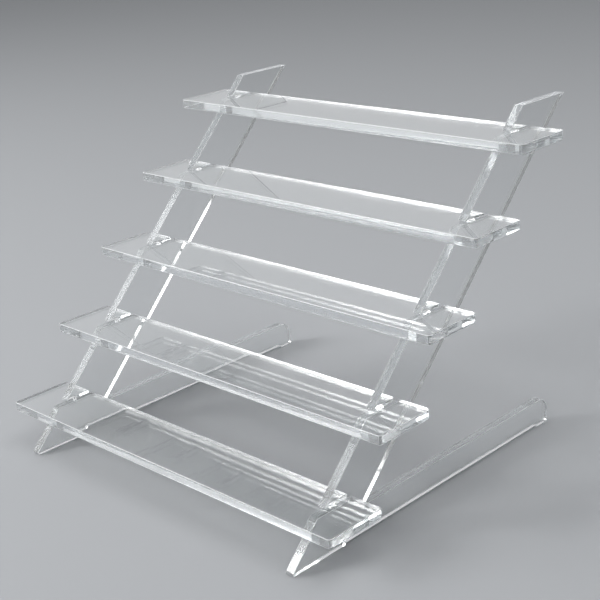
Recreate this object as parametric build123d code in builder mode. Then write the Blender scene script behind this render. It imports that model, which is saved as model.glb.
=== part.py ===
from build123d import *
from math import atan2, tan
import os

os.makedirs("parts", exist_ok=True)

# Tiered display riser cut from one gauge of clear sheet: two leaning side panels and five
# shelves that lap into them. X runs along the shelves, Y from the front feet to the back and
# Z up. The origin is on the floor, under the middle of the overall box. Millimetres.

# Sheet and fit
SHEET = 6.0
SLOT_SIDE_GAP = 0.15
NOTCH_GAP_UNDER = 0.1
NOTCH_GAP_OVER = 0.5
LAP_END_GAP = 0.2

# Shelves
TIER_COUNT = 5
TIER_RISE = 44.5
TIER_SETBACK = 44.5
SHELF_LENGTH = 300.0
SHELF_DEPTH = 44.0
SHELF_CORNER_RADIUS = 2.0
FIRST_SHELF_UNDERSIDE = 24.0
FIRST_SHELF_SETBACK = 8.0

# Side panels
PANEL_OUTER_X = 126.0
PANEL_HEIGHT = 222.0
UPRIGHT_DEPTH = 44.0
LEAN_RUN_PER_RISE = TIER_SETBACK / TIER_RISE
FOOT_HEIGHT = 19.0
FOOT_REACH = 250.0
FOOT_TOE_RADIUS = 1.5
FOOT_HEEL_RADIUS = 10.0
FOOT_HEEL_LOWER_RADIUS = 2.0
FRONT_PAD_LENGTH = 45.0
REAR_PAD_LENGTH = 12.0
PAD_STAND_OFF = 1.6

# FRONT_Y is the sharp front corner of the uprights; rounding the toe draws it back a little,
# and the overall box is centred on the rounded shape.
TOE_ANGLE = atan2(TIER_RISE, TIER_SETBACK)
TOE_DRAW_BACK = FOOT_TOE_RADIUS * (1 / tan(TOE_ANGLE / 2) - 1)
SHARP_DEPTH = PANEL_HEIGHT * LEAN_RUN_PER_RISE + UPRIGHT_DEPTH
FRONT_Y = -(SHARP_DEPTH + TOE_DRAW_BACK) / 2


def tier_underside(tier):
    return FIRST_SHELF_UNDERSIDE + tier * TIER_RISE


def tier_front(tier):
    return FRONT_Y + FIRST_SHELF_SETBACK + tier * TIER_SETBACK


def upright_front(height):
    return FRONT_Y + height * LEAN_RUN_PER_RISE


def lap_line(tier):
    # Shelf and upright share their overlap equally, measured at the middle of the sheet.
    overlap_start = upright_front(tier_underside(tier) + SHEET / 2)
    overlap_end = tier_front(tier) + SHELF_DEPTH
    return (overlap_start + overlap_end) / 2


def panel_outline():
    # Leaning upright with a foot bar along the floor; the bar is relieved between its two pads.
    upright_rear_at_bar = upright_front(FOOT_HEIGHT) + UPRIGHT_DEPTH
    heel = FRONT_Y + FOOT_REACH
    return [
        (FRONT_Y, 0),
        (FRONT_Y + FRONT_PAD_LENGTH, 0),
        (FRONT_Y + FRONT_PAD_LENGTH, PAD_STAND_OFF),
        (heel - REAR_PAD_LENGTH, PAD_STAND_OFF),
        (heel - REAR_PAD_LENGTH, 0),
        (heel, 0),
        (heel, FOOT_HEIGHT),
        (upright_rear_at_bar, FOOT_HEIGHT),
        (upright_front(PANEL_HEIGHT) + UPRIGHT_DEPTH, PANEL_HEIGHT),
        (upright_front(PANEL_HEIGHT), PANEL_HEIGHT),
    ]


def corner(profile, y, z):
    return profile.vertices().sort_by_distance((y, z, 0))[0]


def panel_profile():
    heel = FRONT_Y + FOOT_REACH
    with BuildSketch() as profile:
        with BuildLine():
            Polyline(*panel_outline(), close=True)
        make_face()
        fillet(corner(profile, heel, FOOT_HEIGHT), FOOT_HEEL_RADIUS)
        fillet(corner(profile, heel, 0), FOOT_HEEL_LOWER_RADIUS)
        fillet(corner(profile, FRONT_Y, 0), FOOT_TOE_RADIUS)
        for tier in range(TIER_COUNT):
            notch_floor = tier_underside(tier) - NOTCH_GAP_UNDER
            notch_height = SHEET + NOTCH_GAP_UNDER + NOTCH_GAP_OVER
            notch_mouth = tier_front(tier)
            notch_depth = lap_line(tier) + LAP_END_GAP / 2 - notch_mouth
            with Locations((notch_mouth, notch_floor)):
                Rectangle(notch_depth, notch_height, align=(Align.MIN, Align.MIN), mode=Mode.SUBTRACT)
    return profile.sketch


def shelf_profile(tier):
    # The two slots are open at the rear edge; the shelf slides back into the notches.
    slot_start = lap_line(tier) - LAP_END_GAP / 2
    slot_length = tier_front(tier) + SHELF_DEPTH - slot_start
    panel_centre_x = PANEL_OUTER_X - SHEET / 2
    with BuildSketch() as profile:
        with Locations((0, tier_front(tier) + SHELF_DEPTH / 2)):
            RectangleRounded(SHELF_LENGTH, SHELF_DEPTH, SHELF_CORNER_RADIUS)
        with Locations((-panel_centre_x, slot_start), (panel_centre_x, slot_start)):
            Rectangle(
                SHEET + 2 * SLOT_SIDE_GAP,
                slot_length,
                align=(Align.CENTER, Align.MIN),
                mode=Mode.SUBTRACT,
            )
    return profile.sketch


with BuildPart() as left_side_panel:
    with BuildSketch(Plane.YZ.offset(-PANEL_OUTER_X)):
        add(panel_profile())
    extrude(amount=SHEET)

with BuildPart() as right_side_panel:
    with BuildSketch(Plane.YZ.offset(PANEL_OUTER_X - SHEET)):
        add(panel_profile())
    extrude(amount=SHEET)

left_side_panel.part.label = "left_side_panel"
right_side_panel.part.label = "right_side_panel"
export_step(left_side_panel.part, "parts/left_side_panel.step")
export_step(right_side_panel.part, "parts/right_side_panel.step")

for tier in range(TIER_COUNT):
    with BuildPart() as shelf:
        with BuildSketch(Plane.XY.offset(tier_underside(tier))):
            add(shelf_profile(tier))
        extrude(amount=SHEET)
    shelf.part.label = f"shelf_{tier + 1}"
    export_step(shelf.part, f"parts/shelf_{tier + 1}.step")
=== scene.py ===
import math

import bmesh
import bpy
from mathutils import Matrix, Vector


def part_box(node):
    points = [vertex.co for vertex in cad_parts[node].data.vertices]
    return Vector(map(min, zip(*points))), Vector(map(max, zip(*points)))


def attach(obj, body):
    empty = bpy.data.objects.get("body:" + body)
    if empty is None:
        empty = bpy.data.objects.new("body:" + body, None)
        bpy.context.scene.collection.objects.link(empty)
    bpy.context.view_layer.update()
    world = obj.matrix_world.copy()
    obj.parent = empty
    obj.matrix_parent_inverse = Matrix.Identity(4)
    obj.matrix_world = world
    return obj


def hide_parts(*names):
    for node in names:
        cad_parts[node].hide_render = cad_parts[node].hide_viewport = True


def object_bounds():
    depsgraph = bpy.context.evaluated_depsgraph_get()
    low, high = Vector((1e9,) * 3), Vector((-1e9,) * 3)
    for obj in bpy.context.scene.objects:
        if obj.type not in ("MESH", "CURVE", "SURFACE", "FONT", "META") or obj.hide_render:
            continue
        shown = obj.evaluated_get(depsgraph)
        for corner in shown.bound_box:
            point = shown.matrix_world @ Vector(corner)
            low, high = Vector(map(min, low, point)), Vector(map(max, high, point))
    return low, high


bl_info = {
    "name": "Tiered shelf riser",
    "version": (1, 0, 0),
    "blender": (4, 5, 0),
    "location": "3D View > Sidebar > Riser",
    "description": "Clear acrylic riser: two leaning side plates and the shelves lapped into them",
    "category": "Object",
}

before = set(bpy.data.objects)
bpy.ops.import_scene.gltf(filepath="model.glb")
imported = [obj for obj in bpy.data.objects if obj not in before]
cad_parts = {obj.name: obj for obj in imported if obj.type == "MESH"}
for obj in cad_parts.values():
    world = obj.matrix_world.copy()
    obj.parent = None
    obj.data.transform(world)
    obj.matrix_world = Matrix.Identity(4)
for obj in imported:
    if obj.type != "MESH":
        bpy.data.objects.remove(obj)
CAD_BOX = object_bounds()

MM = 0.001
AXES = "xyz"
TIERS = sorted(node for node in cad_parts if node.startswith("shelf_"))
SHELF_LOW, SHELF_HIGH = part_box(TIERS[0])
SECOND_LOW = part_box(TIERS[1])[0]
LEFT_LOW, LEFT_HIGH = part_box("left_side_panel")
RIGHT_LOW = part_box("right_side_panel")[0]

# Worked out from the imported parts
SHEET = SHELF_HIGH.z - SHELF_LOW.z
TIER_STEP = Vector((0, SECOND_LOW.y - SHELF_LOW.y, SECOND_LOW.z - SHELF_LOW.z))
LEAN = TIER_STEP.y / TIER_STEP.z
PLATE_HEIGHT = LEFT_HIGH.z

# Cutters reach this far past what they cut.
CUT_PAST = SHEET
# How far an edge or face may lie from the place where it is looked for
SELECT_TOLERANCE = 0.05 * MM
# Refractive index of PMMA
ACRYLIC_IOR = 1.49
# Light crosses many sheets and runs along inside them before it leaves.
LIGHT_BOUNCES = 32
# The floor lies this far under the riser, so that no two faces coincide.
FLOOR_GAP = 0.2 * MM
FLOOR_SIZE = 40


class RiserSheet(bpy.types.PropertyGroup):
    """Sizes of the cut sheet that both kinds of plate share"""

    slot_side_gap: bpy.props.FloatProperty(
        name="Slot side gap", description="Clearance on each side of a plate in its slot",
        default=0.15 * MM, min=0, unit="LENGTH")
    notch_gap_under: bpy.props.FloatProperty(
        name="Gap under shelf", description="Clearance between a shelf and the floor of its notch",
        default=0.1 * MM, min=0, unit="LENGTH")
    notch_gap_over: bpy.props.FloatProperty(
        name="Gap over shelf", description="Clearance between a shelf and the roof of its notch",
        default=0.5 * MM, min=0, unit="LENGTH")
    lap_end_gap: bpy.props.FloatProperty(
        name="Lap end gap", description="Clearance between the ends of slot and notch",
        default=0.2 * MM, min=0, unit="LENGTH")
    edge_break: bpy.props.FloatProperty(
        name="Edge break", description="Radius of the melted rim on each border of a cut",
        default=0.25 * MM, min=0, unit="LENGTH")


class RiserPlate(bpy.types.PropertyGroup):
    """Sizes of a side plate"""

    upright_depth: bpy.props.FloatProperty(
        name="Upright depth", description="Front to back width of the leaning upright",
        default=44 * MM, unit="LENGTH")
    foot_height: bpy.props.FloatProperty(
        name="Foot height", description="Height of the foot bar", default=19 * MM, unit="LENGTH")
    foot_reach: bpy.props.FloatProperty(
        name="Foot reach", description="From the toe to the heel of the foot bar",
        default=250 * MM, unit="LENGTH")
    heel_radius: bpy.props.FloatProperty(
        name="Heel radius", description="Rounding of the upper rear corner",
        default=10 * MM, unit="LENGTH")
    heel_lower_radius: bpy.props.FloatProperty(
        name="Lower heel radius", description="Rounding of the lower rear corner",
        default=2 * MM, unit="LENGTH")
    front_pad: bpy.props.FloatProperty(
        name="Front pad", description="Length of the front stretch that meets the floor",
        default=45 * MM, unit="LENGTH")
    rear_pad: bpy.props.FloatProperty(
        name="Rear pad", description="Length of the rear stretch that meets the floor",
        default=12 * MM, unit="LENGTH")
    stand_off: bpy.props.FloatProperty(
        name="Stand-off", description="How far the bar clears the floor between its pads",
        default=1.6 * MM, unit="LENGTH")


class RiserShelf(bpy.types.PropertyGroup):
    """Sizes of a shelf that its box doesn't give"""

    corner_radius: bpy.props.FloatProperty(
        name="Corner radius", description="Rounding of the shelf's four corners",
        default=2 * MM, unit="LENGTH")


def hex_colour(text):
    """An sRGB hex value such as F2F5F7 as a linear colour."""
    channels = [int(text[i:i + 2], 16) / 255 for i in (0, 2, 4)]
    return tuple(c / 12.92 if c <= 0.04045 else ((c + 0.055) / 1.055) ** 2.4 for c in channels)


class RiserFinish(bpy.types.PropertyGroup):
    """Colours of the acrylic and the floor"""

    sheet_colour: bpy.props.FloatVectorProperty(
        name="Sheet", description="Tint of the clear sheet seen through its faces",
        subtype="COLOR", size=3, min=0, max=1, default=hex_colour("FBFCFC"))
    edge_colour: bpy.props.FloatVectorProperty(
        name="Cut edge", description="Tint of the cut edges, where the light leaves the sheet",
        subtype="COLOR", size=3, min=0, max=1, default=hex_colour("F7FAFB"))
    rim_colour: bpy.props.FloatVectorProperty(
        name="Rim", description="Fine melted lip along each border of the cut edges",
        subtype="COLOR", size=3, min=0, max=1, default=hex_colour("FAFCFD"))
    floor_colour: bpy.props.FloatVectorProperty(
        name="Floor", description="Pale studio floor",
        subtype="COLOR", size=3, min=0, max=1, default=hex_colour("A9ABAE"))


def deselect_all():
    if bpy.context.object and bpy.context.object.mode != "OBJECT":
        bpy.ops.object.mode_set(mode="OBJECT")
    bpy.ops.object.select_all(action="DESELECT")


def make_only_selected(piece):
    deselect_all()
    bpy.context.view_layer.objects.active = piece
    piece.select_set(True)


def add_block(name, low, high):
    """A closed block between two corners, with its place in its mesh."""
    deselect_all()
    low, high = Vector(low), Vector(high)
    bpy.ops.mesh.primitive_cube_add(size=1, location=(low + high) / 2)
    block = bpy.context.object
    block.name = name
    block.data.name = name
    block.scale = high - low
    bpy.ops.object.transform_apply(location=True, rotation=True, scale=True)
    return block


def pick(piece, kind, test):
    """In edit mode, selects only the faces or edges that pass the test."""
    bpy.ops.mesh.select_all(action="DESELECT")
    bpy.ops.mesh.select_mode(type=kind)
    mesh = bmesh.from_edit_mesh(piece.data)
    for item in mesh.faces if kind == "FACE" else mesh.edges:
        item.select_set(test(item))
    bmesh.update_edit_mesh(piece.data)


def points_along(face, axis):
    """Whether a face points along an axis, or leans from it by less than 60 degrees."""
    return face.normal[AXES.index(axis)] > math.cos(math.radians(60))


def along(edge, axis, **place):
    """Whether an edge runs along one axis and lies at the given place on the others."""
    start, end = (vertex.co for vertex in edge.verts)
    span = end - start
    middle = (start + end) / 2
    if abs(span[AXES.index(axis)]) < span.length - SELECT_TOLERANCE:
        return False
    return all(abs(getattr(middle, key) - value) < SELECT_TOLERANCE for key, value in place.items())


def round_corner(piece, axis, reach, segments=8, **place):
    """In edit mode, rounds the corner edge at one place. The rounding starts this far from it."""
    pick(piece, "EDGE", lambda edge: along(edge, axis, **place))
    bpy.ops.mesh.bevel(offset=reach, segments=segments, affect="EDGES")


def cut_away(piece, cutter):
    """Subtracts the cutter from the piece and removes the cutter."""
    make_only_selected(piece)
    cut = piece.modifiers.new("cut", "BOOLEAN")
    cut.operation = "DIFFERENCE"
    cut.solver = "EXACT"
    cut.object = cutter
    bpy.ops.object.modifier_apply(modifier=cut.name)
    bpy.data.objects.remove(cutter)


def repeat(cutter, count, step):
    """Repeats a cutter in equal steps."""
    array = cutter.modifiers.new("repeat", "ARRAY")
    array.count = count
    array.use_relative_offset = False
    array.use_constant_offset = True
    array.constant_offset_displace = step
    bpy.context.view_layer.objects.active = cutter
    bpy.ops.object.modifier_apply(modifier=array.name)


def break_edges(piece, radius):
    """Gives each border of a cut its small melted radius, and keeps the faces optically flat."""
    make_only_selected(piece)
    bpy.ops.object.shade_smooth()
    edge_break = piece.modifiers.new("edge break", "BEVEL")
    edge_break.width = radius
    edge_break.segments = 3
    edge_break.limit_method = "ANGLE"
    edge_break.angle_limit = math.radians(30)
    edge_break.harden_normals = True
    bpy.ops.object.modifier_apply(modifier=edge_break.name)


def finish_sheet(piece, thickness_axis, face, edge, rim):
    """The flat faces, the cut edges across them and the rims between take a material each."""
    square_within = 0.001
    piece.data.materials.clear()
    for material in (face, edge, rim):
        piece.data.materials.append(material)
    for polygon in piece.data.polygons:
        tilt = abs(polygon.normal[AXES.index(thickness_axis)])
        if tilt > 1 - square_within:
            polygon.material_index = 0
        elif tilt < square_within:
            polygon.material_index = 1
        else:
            polygon.material_index = 2


def copy_piece(piece, name, offset):
    """A copy with its own mesh, moved within that mesh."""
    twin = piece.copy()
    twin.data = piece.data.copy()
    twin.name = name
    twin.data.name = name
    bpy.context.collection.objects.link(twin)
    twin.data.transform(Matrix.Translation(offset))
    return twin


def upright_front(plate):
    """Where the front of an upright would meet the floor if its toe were sharp."""
    return LEFT_HIGH.y - plate.upright_depth - PLATE_HEIGHT * LEAN


def lap_line(front):
    """Where shelf and side plate share their overlap equally, at the middle of the first shelf."""
    mid_height = SHELF_LOW.z + SHEET / 2
    return (front + mid_height * LEAN + SHELF_HIGH.y) / 2


def toe_reach(front):
    """How far from the sharp toe its rounding starts. On a corner that isn't square the rounding is
    part of an ellipse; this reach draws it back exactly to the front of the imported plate."""
    toe_cosine = math.cos(math.atan2(1, LEAN))
    return (LEFT_LOW.y - front) / (1 + toe_cosine - math.hypot(1, toe_cosine))


def add_node(tree, kind, place, settings=None, **inputs):
    """Adds a node, with its settings, and each input as a value or a link from an output."""
    node = tree.nodes.new(kind)
    node.location = place
    for key, value in (settings or {}).items():
        setattr(node, key, value)
    for key, value in inputs.items():
        socket = node.inputs[key.replace("_", " ")]
        if isinstance(value, bpy.types.NodeSocket):
            tree.links.new(value, socket)
        else:
            socket.default_value = value
    return node


def new_material(name):
    material = bpy.data.materials.new(name)
    material.use_nodes = True
    material.node_tree.nodes.clear()
    return material


def polished_sheet_material(colour):
    """Cast acrylic, PMMA, with its faces as they come from the glass mould: clear and mirror
    smooth, with faint wiping marks that only break up the reflections."""
    smear_size, wave_size, wave_height = 45 * MM, 60 * MM, 0.1 * MM
    material = new_material("cast_acrylic_polished_face")
    tree = material.node_tree
    coordinates = add_node(tree, "ShaderNodeTexCoord", (-900, 0))
    smears = add_node(tree, "ShaderNodeTexNoise", (-680, 60), Vector=coordinates.outputs["Object"],
                      Scale=1 / smear_size, Detail=4.0, Roughness=0.6, Distortion=1.2)
    haze = add_node(tree, "ShaderNodeMapRange", (-440, 60), Value=smears.outputs["Fac"],
                    From_Min=0.42, From_Max=0.75, To_Min=0.0, To_Max=0.015)
    waves = add_node(tree, "ShaderNodeTexNoise", (-680, -260), Vector=coordinates.outputs["Object"],
                     Scale=1 / wave_size, Detail=1.0)
    bump = add_node(tree, "ShaderNodeBump", (-440, -260), Strength=0.08, Distance=wave_height,
                    Height=waves.outputs["Fac"])
    shader = add_node(tree, "ShaderNodeBsdfPrincipled", (-160, 0), Base_Color=(*colour, 1),
                      IOR=ACRYLIC_IOR, Roughness=haze.outputs["Result"],
                      Normal=bump.outputs["Normal"], Transmission_Weight=1.0)
    add_node(tree, "ShaderNodeOutputMaterial", (160, 0), Surface=shader.outputs["BSDF"])
    return material


def cut_edge_material(name, colour, thickness_axis, ridge_strength):
    """Laser-cut acrylic edge: the beam leaves fine upright ridges across the thickness of the sheet
    and melts them to a gloss. They scatter the light that the sheet carries to its rim, so it looks
    bright."""
    # The ridges of a real cut are finer than this; they are drawn coarser so that they show at all.
    ridge_pitch, ridge_height = 0.6 * MM, 0.05 * MM
    sheen_size = 12 * MM
    # Squeezing the pattern along the thickness draws it out into ridges that way.
    squeeze = [1.0, 1.0, 1.0]
    squeeze[AXES.index(thickness_axis)] = 0.04

    material = new_material(name)
    tree = material.node_tree
    coordinates = add_node(tree, "ShaderNodeTexCoord", (-1100, 0))
    mapping = add_node(tree, "ShaderNodeMapping", (-900, 0), Vector=coordinates.outputs["Object"],
                       Scale=squeeze)
    ridges = add_node(tree, "ShaderNodeTexNoise", (-680, -200), Vector=mapping.outputs["Vector"],
                      Scale=1 / ridge_pitch, Detail=2.0, Roughness=0.55)
    bump = add_node(tree, "ShaderNodeBump", (-440, -200), Strength=ridge_strength,
                    Distance=ridge_height, Height=ridges.outputs["Fac"])
    sheen = add_node(tree, "ShaderNodeTexNoise", (-680, 160), Vector=coordinates.outputs["Object"],
                     Scale=1 / sheen_size, Detail=3.0)
    polish = add_node(tree, "ShaderNodeMapRange", (-440, 160), Value=sheen.outputs["Fac"],
                      From_Min=0.3, From_Max=0.7, To_Min=0.04, To_Max=0.12)
    shader = add_node(tree, "ShaderNodeBsdfPrincipled", (-160, 0), Base_Color=(*colour, 1),
                      IOR=ACRYLIC_IOR, Roughness=polish.outputs["Result"],
                      Normal=bump.outputs["Normal"], Transmission_Weight=0.88)
    add_node(tree, "ShaderNodeOutputMaterial", (160, 0), Surface=shader.outputs["BSDF"])
    return material


def melted_rim_material(colour):
    """The lip that the laser melts along each border of a cut: microscopically rough, so it
    scatters light and draws a fine bright line round every sheet."""
    bead_size = 2.5 * MM
    material = new_material("cast_acrylic_melted_rim")
    tree = material.node_tree
    coordinates = add_node(tree, "ShaderNodeTexCoord", (-900, 0))
    beads = add_node(tree, "ShaderNodeTexNoise", (-680, 0), Vector=coordinates.outputs["Object"],
                     Scale=1 / bead_size, Detail=3.0)
    melt = add_node(tree, "ShaderNodeMapRange", (-440, 0), Value=beads.outputs["Fac"],
                    From_Min=0.35, From_Max=0.65, To_Min=0.25, To_Max=0.5)
    shader = add_node(tree, "ShaderNodeBsdfPrincipled", (-160, 0), Base_Color=(*colour, 1),
                      IOR=ACRYLIC_IOR, Roughness=melt.outputs["Result"], Transmission_Weight=0.2)
    add_node(tree, "ShaderNodeOutputMaterial", (160, 0), Surface=shader.outputs["BSDF"])
    return material


def floor_material(colour):
    """Board with matt paint, its colour even all over and its gloss very slightly uneven."""
    grain_size = 4 * MM
    material = new_material("matt_studio_board")
    tree = material.node_tree
    coordinates = add_node(tree, "ShaderNodeTexCoord", (-900, 0))
    grain = add_node(tree, "ShaderNodeTexNoise", (-680, 0), Vector=coordinates.outputs["Object"],
                     Scale=1 / grain_size, Detail=2.0)
    matt = add_node(tree, "ShaderNodeMapRange", (-440, 0), Value=grain.outputs["Fac"],
                    To_Min=0.85, To_Max=0.95)
    shader = add_node(tree, "ShaderNodeBsdfPrincipled", (-160, 0), Base_Color=(*colour, 1),
                      Roughness=matt.outputs["Result"])
    add_node(tree, "ShaderNodeOutputMaterial", (160, 0), Surface=shader.outputs["BSDF"])
    return material


def add_plate_blank(plate):
    """The left side plate before it is cut: the leaning upright and the foot bar behind it, with
    the toe and both corners of the heel rounded."""
    front = upright_front(plate)
    heel = front + plate.foot_reach
    blank = add_block("side_plate_left", (LEFT_LOW.x, front, 0),
                      (LEFT_HIGH.x, front + plate.upright_depth, PLATE_HEIGHT))
    bpy.ops.object.mode_set(mode="EDIT")
    pick(blank, "FACE", lambda face: points_along(face, "z"))
    bpy.ops.transform.translate(value=(0, PLATE_HEIGHT * LEAN, 0))

    # The foot bar grows out of the lower rear of the upright and is squared off at the heel.
    bpy.ops.mesh.select_all(action="SELECT")
    bpy.ops.mesh.bisect(plane_co=(0, 0, plate.foot_height), plane_no=(0, 0, 1))
    pick(blank, "FACE", lambda face: points_along(face, "y")
         and face.calc_center_median().z < plate.foot_height)
    bpy.ops.mesh.extrude_region_move(TRANSFORM_OT_translate={"value": (0, plate.foot_reach, 0)})
    pick(blank, "FACE", lambda face: face.calc_center_median().y > front + plate.upright_depth
         and max(vertex.co.z for vertex in face.verts) < plate.foot_height + SELECT_TOLERANCE)
    bpy.ops.mesh.bisect(plane_co=(0, heel, 0), plane_no=(0, 1, 0), clear_outer=True, use_fill=True)

    round_corner(blank, "x", plate.heel_radius, segments=16, y=heel, z=plate.foot_height)
    round_corner(blank, "x", plate.heel_lower_radius, y=heel, z=0)
    round_corner(blank, "x", toe_reach(front), y=front, z=0)
    bpy.ops.object.mode_set(mode="OBJECT")
    return blank


def cut_relief(blank, plate):
    """Takes the underside of the foot bar off the floor between its two pads."""
    front = upright_front(plate)
    heel = front + plate.foot_reach
    relief = add_block("relief", (LEFT_LOW.x - CUT_PAST, front + plate.front_pad, -CUT_PAST),
                       (LEFT_HIGH.x + CUT_PAST, heel - plate.rear_pad, plate.stand_off))
    cut_away(blank, relief)


def cut_notches(blank, plate, sheet):
    """Cuts a notch for each shelf into the front of the upright."""
    notch_end = lap_line(upright_front(plate)) + sheet.lap_end_gap / 2
    notch = add_block("notch",
                      (LEFT_LOW.x - CUT_PAST, SHELF_LOW.y, SHELF_LOW.z - sheet.notch_gap_under),
                      (LEFT_HIGH.x + CUT_PAST, notch_end, SHELF_HIGH.z + sheet.notch_gap_over))
    repeat(notch, len(TIERS), TIER_STEP)
    cut_away(blank, notch)


class RISER_OT_side_plates(bpy.types.Operator):
    """Adds the two leaning side plates with their foot bars"""

    bl_idname = "riser.side_plates"
    bl_label = "Side plates"

    def execute(self, context):
        scene = context.scene
        sheet, plate, finish = scene.riser_sheet, scene.riser_plate, scene.riser_finish

        left = add_plate_blank(plate)
        cut_relief(left, plate)
        cut_notches(left, plate, sheet)
        break_edges(left, sheet.edge_break)
        cut_edge = cut_edge_material("cast_acrylic_cut_edge_upright", finish.edge_colour, "x",
                                     ridge_strength=0.05)
        finish_sheet(left, "x", polished_sheet_material(finish.sheet_colour), cut_edge,
                     melted_rim_material(finish.rim_colour))

        right = copy_piece(left, "side_plate_right", (RIGHT_LOW.x - LEFT_LOW.x, 0, 0))
        for piece, node in ((left, "left_side_panel"), (right, "right_side_panel")):
            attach(piece, "side_panels")
            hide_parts(node)
        return {"FINISHED"}


def add_shelf_blank(radius):
    """The first shelf before it is slotted, with its four corners rounded."""
    blank = add_block("tier_shelf_1", SHELF_LOW, SHELF_HIGH)
    bpy.ops.object.mode_set(mode="EDIT")
    for x in (SHELF_LOW.x, SHELF_HIGH.x):
        for y in (SHELF_LOW.y, SHELF_HIGH.y):
            round_corner(blank, "z", radius, x=x, y=y)
    bpy.ops.object.mode_set(mode="OBJECT")
    return blank


def cut_slots(blank, plate, sheet):
    """Cuts a slot for each side plate into the rear of the shelf."""
    slot_start = lap_line(upright_front(plate)) - sheet.lap_end_gap / 2
    for low_x in (LEFT_LOW.x, RIGHT_LOW.x):
        slot = add_block("slot", (low_x - sheet.slot_side_gap, slot_start, SHELF_LOW.z - CUT_PAST),
                         (low_x + SHEET + sheet.slot_side_gap, SHELF_HIGH.y + CUT_PAST,
                          SHELF_HIGH.z + CUT_PAST))
        cut_away(blank, slot)


class RISER_OT_shelves(bpy.types.Operator):
    """Adds the shelves, each slotted from its rear edge"""

    bl_idname = "riser.shelves"
    bl_label = "Shelves"

    def execute(self, context):
        scene = context.scene
        sheet, plate, finish = scene.riser_sheet, scene.riser_plate, scene.riser_finish

        first = add_shelf_blank(scene.riser_shelf.corner_radius)
        cut_slots(first, plate, sheet)
        break_edges(first, sheet.edge_break)
        cut_edge = cut_edge_material("cast_acrylic_cut_edge_shelf", finish.edge_colour, "z",
                                     ridge_strength=0.5)
        finish_sheet(first, "z", bpy.data.materials["cast_acrylic_polished_face"], cut_edge,
                     bpy.data.materials["cast_acrylic_melted_rim"])

        shelves = [first]
        for number in range(1, len(TIERS)):
            shelves.append(copy_piece(first, f"tier_shelf_{number + 1}", TIER_STEP * number))
        for piece, node in zip(shelves, TIERS):
            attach(piece, node)
            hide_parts(node)
        return {"FINISHED"}


def add_floor(colour):
    deselect_all()
    bpy.ops.mesh.primitive_plane_add(size=FLOOR_SIZE, location=(0, 0, -FLOOR_GAP))
    floor = bpy.context.object
    floor.name = "studio_floor"
    floor.data.materials.append(floor_material(colour))


def light_surroundings(scene):
    """A plain grey all round, with a wide glow at the rear left for the sheets to mirror."""
    glow_direction = Vector((-0.68, 0.66, 0.36)).normalized()
    glow_spread = math.radians(45)
    plain_strength, glow_strength = 0.32, 0.75

    world = scene.world or bpy.data.worlds.new("soft_surroundings")
    scene.world = world
    world.use_nodes = True
    tree = world.node_tree
    background = tree.nodes["Background"]
    background.inputs["Color"].default_value = (*hex_colour("F6F8FA"), 1)
    directions = add_node(tree, "ShaderNodeTexCoord", (-700, 0))
    nearness = add_node(tree, "ShaderNodeVectorMath", (-500, 0), {"operation": "DOT_PRODUCT"},
                        Vector=directions.outputs["Generated"])
    nearness.inputs[1].default_value = glow_direction
    glow = add_node(tree, "ShaderNodeMapRange", (-300, 0), {"interpolation_type": "SMOOTHSTEP"},
                    Value=nearness.outputs["Value"], From_Min=math.cos(glow_spread), From_Max=1.0,
                    To_Min=plain_strength, To_Max=glow_strength)
    tree.links.new(glow.outputs["Result"], background.inputs["Strength"])


def add_softbox(name, aim, place, size, power):
    """A large soft light that faces one point, seen only in reflections and through the sheets."""
    data = bpy.data.lights.new(name, "AREA")
    data.shape = "RECTANGLE"
    data.size, data.size_y = size
    data.energy = power
    light = bpy.data.objects.new(name, data)
    light.location = place
    light.rotation_euler = (Vector(aim) - Vector(place)).to_track_quat("-Z", "Y").to_euler()
    light.visible_camera = False
    bpy.context.collection.objects.link(light)


def add_camera(scene):
    """The camera looks down at the riser from its right front."""
    place = Vector((0.5614, -0.5376, 0.3803))
    aim = Vector((0.0150, -0.0059, 0.0712))
    roll = math.radians(-4.17)

    lens = bpy.data.cameras.new("camera")
    lens.lens = 74.9
    lens.sensor_width = 36.0
    lens.shift_y = 0.075
    camera = bpy.data.objects.new("camera", lens)
    facing = (aim - place).to_track_quat("-Z", "Y").to_matrix()
    camera.matrix_world = Matrix.Translation(place) @ (
        facing @ Matrix.Rotation(roll, 3, "Z")).to_4x4()
    bpy.context.collection.objects.link(camera)
    scene.camera = camera


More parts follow.
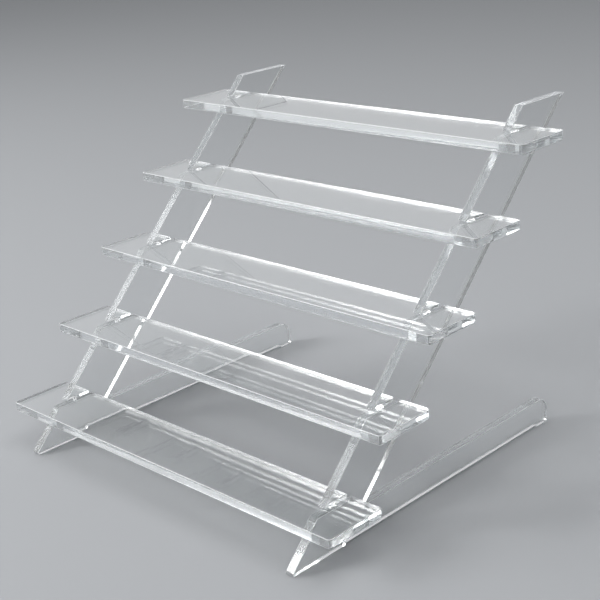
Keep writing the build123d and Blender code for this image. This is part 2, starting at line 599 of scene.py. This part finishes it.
class RISER_OT_stage(bpy.types.Operator):
    """Adds the floor, the soft lights, the surroundings and the camera"""

    bl_idname = "riser.stage"
    bl_label = "Stage"

    def execute(self, context):
        scene = context.scene
        add_floor(scene.riser_finish.floor_colour)
        light_surroundings(scene)

        # The window and the tall strip stand low at the left front, so their light runs through the
        # sheets from end to end and out of the cut edges; the top light evens the floor.
        centre = (CAD_BOX[0] + CAD_BOX[1]) / 2
        add_softbox("window_softbox", centre, place=(-1.6, -1.5, 1.05), size=(2.2, 1.5), power=30)
        add_softbox("strip_softbox", centre, place=(-1.52, -1.82, 1.05), size=(0.32, 1.6), power=30)
        add_softbox("top_softbox", centre, place=(0.4, 0.2, 2.2), size=(1.6, 1.6), power=24)

        scene.cycles.max_bounces = LIGHT_BOUNCES
        scene.cycles.transmission_bounces = LIGHT_BOUNCES
        scene.cycles.glossy_bounces = LIGHT_BOUNCES
        scene.view_settings.view_transform = "Standard"
        add_camera(scene)
        return {"FINISHED"}


class RISER_PT_sidebar(bpy.types.Panel):
    """Lists the riser's sizes and its building steps"""

    bl_idname = "RISER_PT_sidebar"
    bl_label = "Tiered shelf riser"
    bl_space_type = "VIEW_3D"
    bl_region_type = "UI"
    bl_category = "Riser"

    def draw(self, context):
        column = self.layout.column()
        for group in GROUPS:
            settings = getattr(context.scene, group)
            for key in settings.__annotations__:
                column.prop(settings, key)
        for operator in OPERATORS:
            column.operator(operator.bl_idname)


GROUPS = {
    "riser_sheet": RiserSheet,
    "riser_plate": RiserPlate,
    "riser_shelf": RiserShelf,
    "riser_finish": RiserFinish,
}
OPERATORS = (RISER_OT_side_plates, RISER_OT_shelves, RISER_OT_stage)


def register():
    for name, group in GROUPS.items():
        bpy.utils.register_class(group)
        setattr(bpy.types.Scene, name, bpy.props.PointerProperty(type=group))
    for operator in OPERATORS:
        bpy.utils.register_class(operator)
    bpy.utils.register_class(RISER_PT_sidebar)


def unregister():
    bpy.utils.unregister_class(RISER_PT_sidebar)
    for operator in reversed(OPERATORS):
        bpy.utils.unregister_class(operator)
    for name, group in reversed(GROUPS.items()):
        delattr(bpy.types.Scene, name)
        bpy.utils.unregister_class(group)


def main():
    register()
    bpy.ops.riser.side_plates()
    bpy.ops.riser.shelves()
    bpy.ops.riser.stage()


if __name__ == "__main__":
    main()
